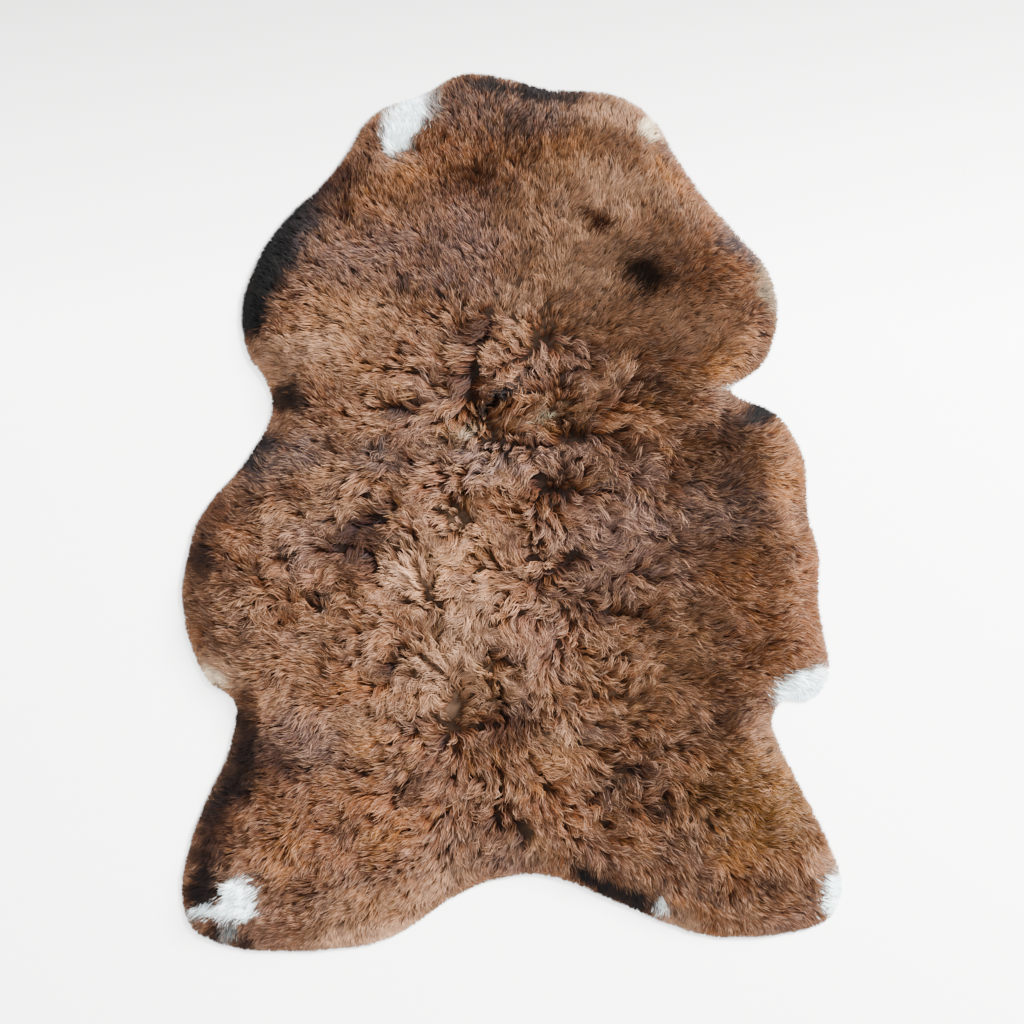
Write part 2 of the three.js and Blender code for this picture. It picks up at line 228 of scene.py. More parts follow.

# Soft patches of colour, laid over the brown wool in this order. Their rows were placed one by one,
# but about half of the shares were fitted to the photograph by a program
PATCHES = [Patch(*row) for row in (
    # These two sand rows are partly painted light: tan wool made paler where the right of the neck
    # and shoulder falls into shade
    ("throat right sand and painted light", 91, 293, 79, 81, 0, "sand", 0.85, 0.6),
    ("right shoulder sand and painted light", 195, 208, 53, 37, 0, "sand", 0.7, 0.6),
    # Rows named shade are painted shade: umber laid over the wool to darken rims, flanks, crown and
    # rump
    ("right rim shade", 316, 7, 9, 33, 0, "umber", 0.6, 0.6),
    ("right thigh rim shade", 294, -251, 20, 77, 15, "umber", 0.35, 0.6),
    ("right foot shade", 305, -383, 44, 66, 0, "umber", 0.25, 0.6),
    ("left flank shade right", -221, -9, 33, 44, 0, "umber", 0.35, 0.6),
    ("left thigh shade", -250, -317, 40, 66, 0, "umber", 0.4, 0.6),
    ("crown shade", -47, 444, 143, 26, -4, "umber", 0.4, 0.6),
    ("left flank shade", -309, -9, 55, 132, 0, "umber", 0.5, 0.7),
    ("left back shade", -184, 65, 77, 40, 0, "umber", 0.45, 0.7),
    ("rump shade", -36, -290, 253, 66, -3, "umber", 0.45, 0.6),
    ("left shoulder shade", -269, 233, 33, 66, 0, "umber", 0.3, 0.6),
    ("right notch shade", 263, 123, 29, 33, 0, "umber", 0.65, 0.6),
    ("right shoulder rim shade", 274, 233, 18, 55, 0, "umber", 0.65, 0.6),
    ("crown slate", -1, 439, 101, 33, -3, "slate", 0.6, 0.5),
    ("crown edge", 26, 461, 97, 11, -6, "black", 0.9, 0.4),
    ("neck umber", -36, 398, 68, 20, 0, "umber", 0.45, 0.5),
    ("neck dark", -45, 367, 33, 14, 0, "umber", 0.85, 0.5),
    ("right brow sand", 116, 422, 48, 31, -15, "sand", 0.62, 0.5),
    ("right ear cream", 153, 417, 15, 8, -45, "cream", 0.85, 0.4),
    ("right ear slate", 164, 390, 16, 10, -48, "slate", 0.8, 0.4),
    ("right neck amber", 173, 365, 33, 11, -45, "amber", 0.6, 0.5),
    ("left ear sand", -126, 376, 26, 11, 0, "sand", 0.55, 0.5),
    ("left ear tuft", -163, 405, 16, 19, 0, "umber", 0.5, 0.4),
    ("left neck edge", -201, 358, 48, 16, 38, "umber", 0.95, 0.5),
    ("left shoulder black", -249, 298, 66, 31, 58, "black", 1, 0.35),
    ("left shoulder black low", -283, 230, 55, 26, 80, "black", 1, 0.45),
    ("left shoulder slate", -201, 282, 46, 37, 60, "slate", 0.5, 0.6),
    ("neck umber spot", -148, 312, 15, 19, 0, "umber", 0.7, 0.5),
    ("neck plum", -63, 299, 68, 48, 0, "plum", 0.85, 0.6),
    ("neck slate", -96, 247, 57, 16, 5, "slate", 0.65, 0.6),
    ("throat tan", 8, 326, 31, 28, 0, "tan", 0.5, 0.6),
    ("throat sand streak", 3, 227, 15, 29, 0, "sand", 0.8, 0.5),
    ("throat umber spot", 36, 337, 11, 19, 0, "umber", 0.6, 0.5),
    ("right neck umber spot", 98, 314, 22, 11, -20, "umber", 1, 0.5),
    ("right neck tan", 175, 337, 66, 29, -20, "tan", 0.3, 0.6),
    ("round dark halo", 157, 259, 44, 31, -20, "umber", 0.5, 0.6),
    ("round dark spot", 146, 256, 29, 21, -30, "black", 0.93, 0.6),
    ("left shoulder tan", -179, 219, 46, 29, 10, "tan", 0.8, 0.6),
    ("left shoulder sand", -234, 175, 57, 19, 12, "sand", 0.6, 0.5),
    ("right shoulder rust", 230, 233, 68, 44, 90, "rust", 0.1, 0.6),
    ("right shoulder cream", 276, 252, 33, 7, -68, "cream", 0.45, 0.5),
    ("right shoulder slate", 250, 294, 29, 16, -50, "slate", 1, 0.4),
    ("right shoulder dark", 278, 183, 18, 11, 70, "umber", 0.6, 0.5),
    ("right notch amber", 230, 160, 28, 20, 30, "amber", 0.55, 0.5),
    ("withers umber high", -42, 194, 23, 20, 0, "umber", 0.95, 0.5),
    ("withers umber", -47, 139, 29, 25, 0, "umber", 0.85, 0.5),
    ("withers black", -6, 126, 53, 10, 40, "black", 0.95, 0.5),
    ("left armpit black", -248, 123, 30, 16, 5, "black", 0.9, 0.4),
    ("left of withers black", -118, 111, 24, 13, 8, "black", 0.75, 0.45),
    ("right of withers umber", 160, 138, 48, 16, 5, "umber", 0.5, 0.6),
    ("right of withers umber high", 157, 183, 22, 13, 0, "umber", 0.55, 0.6),
    ("right notch black", 274, 101, 20, 15, -10, "black", 1, 0.4),
    ("right notch bar", 237, 85, 26, 22, 70, "black", 0.7, 0.5),
    ("left back fleck", -52, 85, 10, 7, 20, "cream", 0.6, 0.45),
    ("right back fleck", 36, 101, 18, 6, 5, "cream", 0.75, 0.45),
    ("under the fleck black", 65, 91, 33, 8, -6, "black", 0.8, 0.45),
    ("right back slate", 87, 76, 16, 10, 0, "slate", 0.35, 0.6),
    ("back slate", 52, 61, 123, 22, -3, "slate", 0.55, 0.6),
    ("right back umber", 109, 62, 33, 10, 0, "umber", 0.8, 0.5),
    ("far right back umber", 193, 62, 51, 22, 0, "umber", 0.45, 0.6),
    ("right back bar", 146, 29, 90, 9, 2, "black", 0.75, 0.5),
    ("mid back umber", 36, 21, 42, 15, -5, "umber", 0.7, 0.5),
    ("left flank top black", -276, 62, 28, 19, 40, "black", 0.95, 0.4),
    ("left back umber", -201, 61, 35, 13, 0, "umber", 0.45, 0.6),
    ("left back tan", -197, 39, 21, 13, 0, "tan", 0.85, 0.5),
    ("left back slate", -232, 65, 29, 22, 0, "slate", 0.75, 0.6),
    ("left flank umber", -326, -4, 24, 20, 50, "umber", 0.75, 0.5),
    ("left flank black", -339, -53, 31, 19, 80, "black", 0.65, 0.5),
    ("left flank rust", -302, -31, 22, 22, 0, "rust", 0.5, 0.6),
    ("left loin tan", -252, -9, 21, 18, 0, "tan", 0.7, 0.5),
    ("left loin black", -152, -9, 44, 12, 36, "black", 0.75, 0.45),
    ("left loin umber", -161, -35, 37, 33, 10, "umber", 0.95, 0.5),
    ("left loin umber low", -170, -75, 20, 20, 0, "umber", 0.85, 0.5),
    ("left flank curl black", -206, -95, 13, 19, 0, "black", 0.8, 0.5),
    ("left flank curl umber", -184, -122, 11, 24, 0, "umber", 0.6, 0.5),
    ("left flank low umber", -326, -111, 37, 29, 20, "umber", 0.4, 0.6),
    ("left tuft sand", -317, -175, 35, 16, -15, "sand", 0.85, 0.5),
    ("left tuft cream", -325, -184, 19, 10, -10, "cream", 0.7, 0.4),
    ("left hip rust", -183, -196, 33, 21, 10, "rust", 0.55, 0.6),
    ("left hip tan", -166, -232, 33, 24, 0, "tan", 0.45, 0.6),
    ("left hip plum", -223, -254, 40, 29, 0, "plum", 0.8, 0.6),
    ("left thigh black", -289, -247, 46, 26, 100, "black", 0.85, 0.5),
    ("left leg black", -313, -335, 64, 34, 72, "black", 1, 0.5),
    ("left foot black", -340, -414, 33, 15, 80, "black", 0.9, 0.4),
    ("left foot black beside", -315, -467, 37, 13, -6, "black", 0.75, 0.4),
    ("left thigh umber", -247, -287, 29, 24, 0, "umber", 0.85, 0.6),
    ("spine tan", -67, -53, 51, 37, 0, "tan", 0.65, 0.6),
    ("spine sand left", -118, -67, 20, 28, 0, "sand", 0.85, 0.5),
    ("spine sand", -73, -155, 48, 29, 10, "sand", 0.8, 0.5),
    ("spine sand high", -47, -108, 40, 29, 20, "sand", 0.4, 0.6),
    ("right loin slate", 98, -100, 33, 31, 0, "slate", 0.45, 0.6),
    ("mid loin umber high", 54, -60, 26, 14, 40, "umber", 0.7, 0.5),
    ("mid loin umber", 81, -104, 26, 13, -40, "umber", 0.7, 0.5),
    ("mid loin umber right", 120, -115, 19, 10, 0, "umber", 0.7, 0.5),
    ("right back plum", 131, -20, 79, 55, 0, "plum", 0.85, 0.6),
    ("right back slate low", 162, -9, 26, 12, 30, "slate", 0.45, 0.6),
    ("right flank rust", 267, -86, 68, 37, 90, "rust", 0.4, 0.6),
    ("right rim rust", 323, -100, 73, 14, 90, "rust", 0.85, 0.5),
    ("right rim amber", 300, 46, 42, 22, 100, "amber", 0.6, 0.5),
    ("right flank slate", 228, 7, 46, 40, 0, "slate", 0.6, 0.6),
    ("right loin rust", 283, -150, 46, 33, 0, "rust", 0.55, 0.6),
    ("right thigh umber", 228, -199, 57, 16, 96, "umber", 0.75, 0.5),
    ("left hip umber", -133, -168, 22, 13, 30, "umber", 0.9, 0.5),
    ("low back umber spot", -8, -161, 11, 16, 0, "umber", 0.25, 0.5),
    ("right loin tan", 142, -196, 40, 23, 0, "tan", 0.35, 0.6),
    ("rump whorl umber", -1, -232, 40, 26, 15, "umber", 0.9, 0.55),
    ("rump umber", -47, -279, 35, 15, 0, "umber", 0.55, 0.6),
    ("right hip black beside", 125, -279, 51, 13, 35, "black", 0.75, 0.5),
    ("right hip black", 175, -317, 55, 13, 8, "black", 0.75, 0.5),
    ("right hip umber low", 224, -309, 31, 20, 0, "umber", 1, 0.5),
    ("rump sand", 54, -254, 33, 22, 0, "sand", 0.45, 0.6),
    ("rump sand low", 85, -302, 29, 12, 25, "sand", 0.15, 0.6),
    ("tail root umber", -7, -345, 33, 15, -12, "umber", 0.85, 0.5),
    ("left rump rust beside", -201, -342, 101, 55, 10, "rust", 0.75, 0.6),
    ("left rump rust", -111, -331, 66, 14, 0, "rust", 0.7, 0.6),
    ("left rump umber", -111, -302, 15, 16, 0, "umber", 0.6, 0.6),
    ("left rump tan", -155, -430, 70, 29, 12, "tan", 0.55, 0.6),
    ("left rump rim sand", -166, -467, 59, 14, 6, "sand", 1, 0.5),
    ("tail arch sand", -78, -410, 48, 15, 30, "sand", 0.7, 0.5),
    ("left leg umber low", -227, -414, 37, 21, 10, "umber", 0.75, 0.6),
    ("tail arch plum", -3, -383, 35, 15, 0, "plum", 0.5, 0.6),
    ("tail arch black", 107, -410, 53, 12, -28, "black", 0.95, 0.4),
    ("tail arch fleck", 166, -433, 12, 7, -30, "white", 0.7, 0.45),
    ("tail arch umber", 109, -389, 24, 9, -15, "umber", 0.6, 0.5),
    ("right rump olive", 274, -317, 73, 64, 0, "olive", 0.65, 0.6),
    ("right foot umber", 246, -408, 35, 15, 0, "umber", 0.7, 0.6),
    ("right thigh umber low", 208, -350, 22, 11, 0, "umber", 0.4, 0.6),
    ("right foot umber right", 292, -405, 24, 11, 0, "umber", 0.5, 0.6),
    ("right thigh rim sand", 301, -271, 51, 13, -62, "sand", 0.45, 0.5),
    ("right hock slate", 320, -326, 26, 12, -60, "slate", 0.55, 0.5),
    ("right rump rim sand", 184, -449, 22, 11, -10, "sand", 0.8, 0.5),
    ("right foot slate", 325, -443, 16, 11, 20, "slate", 0.15, 0.5),
    ("right hock sand", 343, -381, 16, 11, 0, "sand", 0.45, 0.5),
    ("right neck sand high", 109, 362, 51, 24, -15, "sand", 0.8, 0.6),
    ("crown right tan", 54, 373, 22, 24, 0, "tan", 0.45, 0.6),
    ("left neck umber low", -194, 335, 24, 14, 40, "umber", 0.7, 0.5),
    ("left chest tan", -155, 204, 29, 20, 0, "tan", 0.55, 0.6),
    ("left chest umber", -93, 186, 20, 13, 0, "umber", 0.55, 0.6),
    ("withers left umber", -111, 71, 40, 19, -6, "umber", 0.6, 0.6),
    ("withers left slate", -146, 54, 29, 14, 0, "slate", 0.7, 0.6),
    ("mid back slate left", -36, 54, 19, 14, 0, "slate", 0.75, 0.6),
    ("left flank slate high", -262, 48, 29, 18, 30, "slate", 0.75, 0.6),
    ("left flank umber mid", -278, -1, 19, 14, 0, "umber", 0.65, 0.6),
    ("left flank umber low right", -282, -71, 18, 15, 0, "umber", 0.5, 0.6),
    ("left flank umber bottom", -282, -137, 20, 14, 0, "umber", 0.55, 0.6),
    ("back tan", -62, -3, 26, 14, 0, "tan", 0.8, 0.6),
    ("spine sand long", -97, -64, 16, 37, 0, "sand", 0.65, 0.6),
    ("spine sand low", -62, -201, 29, 22, 0, "sand", 0.6, 0.6),
    ("spine tan right", -20, -181, 20, 15, 0, "tan", 0.7, 0.6),
    ("rump umber left", -97, -282, 14, 31, 0, "umber", 0.75, 0.6),
    ("left thigh umber high", -243, -269, 20, 22, 0, "umber", 0.75, 0.6),
    ("left thigh umber leg", -265, -359, 26, 29, -15, "umber", 0.5, 0.6),
    ("left rump umber mid", -177, -346, 33, 18, 0, "umber", 0.6, 0.6),
    ("left rump umber low", -141, -390, 29, 13, 0, "umber", 0.4, 0.6),
    ("tail root tan", 21, -359, 13, 16, 0, "tan", 0.8, 0.5),
    ("left back tan low", -234, -97, 15, 10, 0, "tan", 0.4, 0.6),
    ("mid back tan", 65, 114, 18, 11, 0, "tan", 0.7, 0.5),
    ("right back umber low", 140, 21, 44, 13, 0, "umber", 0.6, 0.6),
    ("right thigh olive rim", 307, -304, 22, 40, 20, "olive", 0.75, 0.6),
    ("right rim umber high", 283, 70, 16, 18, 0, "umber", 0.6, 0.6),
    ("tail arch left sand", -126, -460, 29, 13, 15, "sand", 0.75, 0.5),
    ("right rump rust mid", 151, -353, 24, 16, 0, "rust", 0.5, 0.6),
    ("right rump umber low", 195, -392, 26, 13, -10, "umber", 0.35, 0.6),
    ("right rump tan", 237, -364, 24, 18, 0, "tan", 0.2, 0.6),
    ("mid rump rust", 52, -317, 44, 24, 0, "rust", 0.55, 0.6),
    ("right hip rust", 140, -246, 51, 18, 30, "rust", 0.5, 0.6),
    ("rump left rust", -80, -254, 33, 26, 0, "rust", 0.4, 0.6),
    ("neck rust", -91, 387, 33, 22, 0, "rust", 0.45, 0.6),
    ("left neck plum", -155, 274, 44, 29, 10, "plum", 0.6, 0.6),
    ("neck low rust", 36, 277, 20, 29, 0, "rust", 0.1, 0.6),
    ("neck amber spot", 69, 398, 29, 20, 0, "amber", 0.25, 0.6),
    ("neck left amber", -118, 365, 29, 11, 0, "amber", 0.4, 0.5),
    ("left rump amber", -250, -372, 22, 29, -10, "amber", 0.35, 0.6),
    ("rump amber", -129, -356, 24, 15, 0, "amber", 0.35, 0.6),
    ("rump amber mid", 47, -265, 26, 13, 0, "amber", 0.4, 0.6),
    ("right rump amber", 245, -375, 29, 20, 0, "amber", 0.4, 0.6),
    ("right rump amber low", 206, -433, 33, 11, -10, "amber", 0.4, 0.5),
    ("left hip amber", -155, -251, 24, 15, 0, "amber", 0.3, 0.6),
    ("loin plum", 30, -141, 29, 33, 0, "plum", 0.5, 0.6),
    ("left loin plum", -234, -37, 24, 31, 0, "plum", 0.4, 0.6),
    ("withers plum", 52, 167, 44, 29, 0, "plum", 0.5, 0.6),
    ("spine sand beside", -94, -73, 14, 29, 0, "sand", 0.5, 0.6),
    ("spine sand low beside", -62, -212, 16, 24, 0, "sand", 0.5, 0.6),
    ("spine sand mid", -67, -155, 24, 15, 10, "sand", 1, 0.6),
    ("back sand", -62, -3, 22, 11, 0, "sand", 0.5, 0.6),
    ("tail sand", 20, -370, 12, 16, 0, "sand", 0.5, 0.6),
    ("right flank tan", 197, -141, 19, 48, 0, "tan", 0.45, 0.6),
    ("right flank umber spot", 153, -37, 24, 15, 0, "umber", 0.3, 0.6),
    # Painted shade, as in the other rows named shade
    ("left hip shade", -179, -213, 15, 13, 0, "umber", 0.35, 0.6),
    ("left thigh umber mid", -238, -317, 18, 20, 0, "umber", 0.45, 0.6),
    ("rump umber right", 85, -293, 22, 11, 0, "umber", 0.4, 0.6),
    ("left shoulder sand low", -247, 151, 20, 13, 0, "sand", 0.6, 0.5),
    ("left neck tan mid", -111, 337, 33, 22, 0, "tan", 0.35, 0.6),
    ("left crown umber", -67, 439, 15, 26, 0, "umber", 0.4, 0.6),
    ("left ear white", -113, 434, 35, 19, 42, "white", 0.8, 0.45),
    ("left ear white low", -124, 408, 13, 15, 0, "white", 0.8, 0.45),
    ("right tuft white", 323, -196, 30, 19, 28, "white", 1, 0.35),
    ("left foot white", -300, -426, 21, 23, 20, "white", 0.9, 0.25),
    ("left foot white streak", -328, -436, 29, 7, 14, "white", 0.9, 0.35),
    ("left foot white tip", -310, -458, 9, 18, 0, "white", 0.4, 0.35),
    ("right foot white", 356, -415, 24, 13, 88, "white", 1, 0.4),
    ("right notch white", 243, 138, 10, 4, 20, "white", 0.55, 0.35),
)]

# Where the wool is long and wavy
CURLS = [
    Curl("back", -10, -45, 250, 165, 90, 1, 0.3),
    Curl("left flank", -215, -75, 75, 55, 20, 0.9, 0.4),
    Curl("rump", 20, -300, 190, 70, 0, 0.6, 0.4),
]

# Partings where the wool falls open
PARTINGS = [
    Parting("withers", -38, 160, 70, 62, 15),
    Parting("withers right", 8, 168, 35, 48, 14),
    Parting("left of withers", -118, 112, 8, 40, 14),
    Parting("back right", 68, 78, 12, 46, 14),
    Parting("left loin", -146, -12, 32, 70, 15),
    Parting("left loin curl", -138, -66, 110, 40, 14),
    Parting("left flank", -205, -96, 118, 36, 13),
    Parting("mid back", 44, -66, 40, 42, 14),
    Parting("right loin", 122, -116, 155, 44, 14),
    Parting("left hip", -126, -174, 42, 46, 14),
    Parting("rump whorl", -20, -226, 20, 50, 18),
    Parting("right hip", 112, -286, 33, 70, 14),
    Parting("tail root", -8, -334, 165, 48, 15),
]

# Short combed wool, long wavy wool and the edge's fringe: distances in mm and angles in degrees
SHORT = Coat(
    spacing=5.6, strands=12, levels=3, reach=17, rise=1.0, width=0.95,
    wave=20, bend=46, wander=36, scatter=10, clump=0.36,
)
WAVY = Coat(
    spacing=8.4, strands=17, levels=5, reach=27, rise=1.05, width=1.15,
    wave=42, bend=95, wander=52, scatter=6, clump=0.62,
)
FRINGE = SHORT._replace(spacing=2.4, strands=4, scatter=11, clump=0.1, bend=16)


def linear(colour):
    """Linear light of an sRGB colour."""
    return np.array([c / 12.92 if c <= 0.04045 else ((c + 0.055) / 1.055) ** 2.4 for c in colour])


def linear_palette(names):
    """Linear light of colours of the wool, by name."""
    return np.array([linear(COLOURS[name]) for name in names])


def soft_step(t):
    """0 below 0 and 1 above 1, with a smooth rise between."""
    t = np.clip(t, 0, 1)
    return t * t * (3 - 2 * t)


def noise(x, y, cell, seed):
    """Smooth noise from -1 to 1 whose bumps are about one cell across."""
    lattice = np.random.default_rng(seed).uniform(-1, 1, (LATTICE, LATTICE))
    u, v = x / cell, y / cell
    i, j = np.floor(u).astype(int), np.floor(v).astype(int)
    su, sv = soft_step(u - i), soft_step(v - j)
    i0, j0, i1, j1 = i % LATTICE, j % LATTICE, (i + 1) % LATTICE, (j + 1) % LATTICE
    low = lattice[j0, i0] * (1 - su) + lattice[j0, i1] * su
    high = lattice[j1, i0] * (1 - su) + lattice[j1, i1] * su
    return low * (1 - sv) + high * sv


# The CAD pelt: its rim loop, the tips of its locks and its top


def pelt_skin(node):
    """Corners and triangles of the CAD pelt in millimetres, with corners at one place joined."""
    mesh = node.data
    mesh.calc_loop_triangles()
    places = np.array([v.co for v in mesh.vertices]) / MM
    triangles = np.array([t.vertices for t in mesh.loop_triangles])
    corners, index = np.unique(np.round(places, 2), axis=0, return_inverse=True)
    return corners, index.reshape(-1)[triangles]


def pelt_loops(corners, triangles):
    """The rim's loop on the floor, and the tips of the locks in the same order, as plan points."""
    met = np.bincount(triangles.ravel(), minlength=len(corners))
    on_floor = corners[:, 2] < ON_FLOOR
    hub = int(np.argmax(np.where(on_floor, met, 0)))
    step = {}
    for triangle in triangles:
        if hub in triangle:
            k = list(triangle).index(hub)
            step[int(triangle[(k + 1) % 3])] = int(triangle[(k + 2) % 3])
    loop = [next(iter(step))]
    while len(loop) < len(step):
        loop.append(step[loop[-1]])
    place = {corner: i for i, corner in enumerate(loop)}
    near = {}
    for triangle in triangles:
        for corner in triangle:
            near.setdefault(int(corner), set()).update(int(c) for c in triangle)
    tips = {}
    for corner in np.flatnonzero(on_floor & (met == 4)):
        around = set().union(*(near[c] for c in near[int(corner)]))
        roots = sorted(place[c] for c in around if c in place)
        if roots:
            first = roots[0] if roots[-1] - roots[0] < len(loop) / 2 else roots[-1]
            tips[first] = corners[corner, :2]
    return corners[loop, :2], np.array([tips[i] for i in sorted(tips)])


def distance_to_loop(x, y, loop):
    """Distance to a closed line, positive inside it."""
    nearest = np.full(x.shape, np.inf)
    inside = np.zeros(x.shape, bool)
    for (ax, ay), (bx, by) in zip(loop, np.roll(loop, -1, axis=0)):
        rx, ry = bx - ax, by - ay
        share = np.clip(((x - ax) * rx + (y - ay) * ry) / (rx * rx + ry * ry), 0, 1)
        nearest = np.minimum(nearest, (ax + share * rx - x) ** 2 + (ay + share * ry - y) ** 2)
        if ay != by:
            inside ^= ((ay > y) != (by > y)) & (x < ax + (y - ay) / ry * rx)
    return np.where(inside, 1, -1) * np.sqrt(nearest)


def blurred(field, passes):
    """A field with each value moved towards the mean of its neighbours."""
    for _ in range(passes):
        wide = np.pad(field, 1, mode="edge")
        field = (
            wide[1:-1, 1:-1] * 4
            + wide[:-2, 1:-1] + wide[2:, 1:-1]
            + wide[1:-1, :-2] + wide[1:-1, 2:]
        ) / 8
    return field


class PeltMap:
    """Fields over the pelt: distance inside its edge, way out, heights of wool and undercoat."""

    def __init__(self, node):
        corners, triangles = pelt_skin(node)
        self.rim, tips = pelt_loops(corners, triangles)
        self.edge = (np.roll(tips, 1, axis=0) + 2 * tips + np.roll(tips, -1, axis=0)) / 4
        xs = np.arange(-MAP_X, MAP_X + MAP_STEP, MAP_STEP)
        ys = np.arange(-MAP_Y, MAP_Y + MAP_STEP, MAP_STEP)
        x, y = np.meshgrid(xs.astype(float), ys.astype(float))
        self.inside = distance_to_loop(x, y, self.edge)
        down, across = np.gradient(blurred(self.inside, 3), MAP_STEP)
        size = np.hypot(across, down) + 1e-6
        self.out_x, self.out_y = -across / size, -down / size
        tree = BVHTree.FromPolygons([Vector(c) for c in corners], triangles.tolist())
        share = (np.clip(self.inside, 0, RIM_INSET) / RIM_INSET) ** 0.8
        top = EDGE_TOP + share * (RIM_TOP - EDGE_TOP)
        for row, column in np.argwhere(self.inside > RIM_INSET):
            above = Vector((x[row, column], y[row, column], 100))
            hit = tree.ray_cast(above, Vector((0, 0, -1)))[0]
            top[row, column] = hit.z if hit else top[row, column]
        top[self.inside < 0] = FLOOR_CLEARANCE
        self.top = blurred(top, 4)
        self.base = np.maximum(self.top * UNDERCOAT_SHARE, FLOOR_CLEARANCE)

    def at(self, field, x, y):
        """A field's value at any points."""
        u = np.clip((x + MAP_X) / MAP_STEP, 0, field.shape[1] - 1.001)
        v = np.clip((y + MAP_Y) / MAP_STEP, 0, field.shape[0] - 1.001)
        i, j = u.astype(int), v.astype(int)
        fu, fv = u - i, v - j
        low = field[j, i] * (1 - fu) + field[j, i + 1] * fu
        high = field[j + 1, i] * (1 - fu) + field[j + 1, i + 1] * fu
        return low * (1 - fv) + high * fv


# Colour and flow of the wool


def ellipse_weight(row, x, y):
    """How much of a soft patch is at each point, from 0 to its share."""
    turn = math.radians(row.turn)
    along = (x - row.x) * math.cos(turn) + (y - row.y) * math.sin(turn)
    aside = (y - row.y) * math.cos(turn) - (x - row.x) * math.sin(turn)
    reach = np.hypot(along / row.long, aside / row.wide)
    return row.share * soft_step((1 + row.fade - reach) / (2 * row.fade))


def parting_offset(row, x, y):
    """Signed distance aside of a parting's line, and how strongly the parting is felt."""
    turn = math.radians(row.bearing)
    along = (x - row.x) * math.cos(turn) + (y - row.y) * math.sin(turn)
    aside = (y - row.y) * math.cos(turn) - (x - row.x) * math.sin(turn)
    past = np.maximum(np.abs(along) - row.length / 2, 0)
    return aside, np.exp(-(aside ** 2 + past ** 2) / row.width ** 2)


def curliness(x, y):
    """How much of the wool is long and wavy at each point, from 0 to 1."""
    rest = np.ones_like(x)
    for row in CURLS:
        rest = rest * (1 - ellipse_weight(row, x, y))
    return 1 - rest


def wool_colour(x, y):
    """Linear colour of the wool that grows at each point."""
    px = x + WIDE_WANDER * noise(x, y, 19, 11) + FINE_WANDER * noise(x, y, 7, 12)
    py = y + WIDE_WANDER * noise(x, y, 19, 13) + FINE_WANDER * noise(x, y, 7, 14)
    colour = np.ones((len(x), 3)) * linear(COLOURS["brown"])
    for name, cell, seed, most in MOTTLES:
        weight = most * soft_step(noise(x, y, cell, seed) * MOTTLE_GAIN)
        colour += weight[:, None] * (linear(COLOURS[name]) - colour)
    for row in PATCHES:
        weight = ellipse_weight(row, px, py)
        colour += weight[:, None] * (linear(COLOURS[row.colour]) - colour)
    light = colour.mean(axis=1, keepdims=True)
    usual = linear(COLOURS["brown"])
    usual = usual / usual.mean()
    hue = 1 + HUE_DEPTH * (usual - 1)
    return light * np.maximum(hue + HUE_SPREAD * (colour / light - usual), 0.1)


def paleness(light):
    """How far wool of a mean light counts as pale, from 0 to 1."""
    return soft_step((light - PALE_FROM) / PALE_OVER)


def flow(pelt, x, y):
    """Bearing of the wool in plan, and how far it lies over.

    It runs away from the back's middle line, out at the rim and open at partings, and stands
    upright where the bearing turns about.
    """
    wx, wy = x - SPINE_X, y
    for most, cell, seed in SPINE_WARP:
        wx = wx + most * noise(x, y, cell, seed)
        wy = wy + most * noise(x, y, cell, seed + 1)
    vx, vy = wx, wy - np.clip(wy, SPINE_END, SPINE_TOP)
    size = np.hypot(vx, vy) + 1e-6
    sure = soft_step(size / SPINE_BREADTH)
    astray = ASTRAY * (1 - sure)
    vx = vx / size * sure + astray * noise(x, y, 47, 71)
    vy = vy / size * sure + astray * noise(x, y, 47, 72)
    inside = pelt.at(pelt.inside, x, y)
    out = RIM_TURN * soft_step((RIM_PULL - inside) / RIM_PULL)
    vx += out * (pelt.at(pelt.out_x, x, y) - vx)
    vy += out * (pelt.at(pelt.out_y, x, y) - vy)
    for row in PARTINGS:
        aside, felt = parting_offset(row, x, y)
        side = np.sign(aside + PARTING_WANDER * noise(x, y, 17, 73)) * felt * PARTING_TURN
        vx -= side * math.sin(math.radians(row.bearing))
        vy += side * math.cos(math.radians(row.bearing))
    return np.arctan2(vy, vx), np.clip(LEAN_GAIN * np.hypot(vx, vy), UPRIGHT, 1)


# Strands


def lattice(spacing, rng):
    """Jittered points of a triangular lattice over the whole map."""
    rows = np.arange(-MAP_Y, MAP_Y, spacing * 0.866)
    columns = np.arange(-MAP_X, MAP_X, spacing)
    x, y = np.meshgrid(columns, rows)
    x = x + np.where(np.arange(len(rows)) % 2, spacing / 2, 0)[:, None]
    jitter = rng.uniform(-0.42, 0.42, (2,) + x.shape) * spacing
    return (x + jitter[0]).ravel(), (y + jitter[1]).ravel()


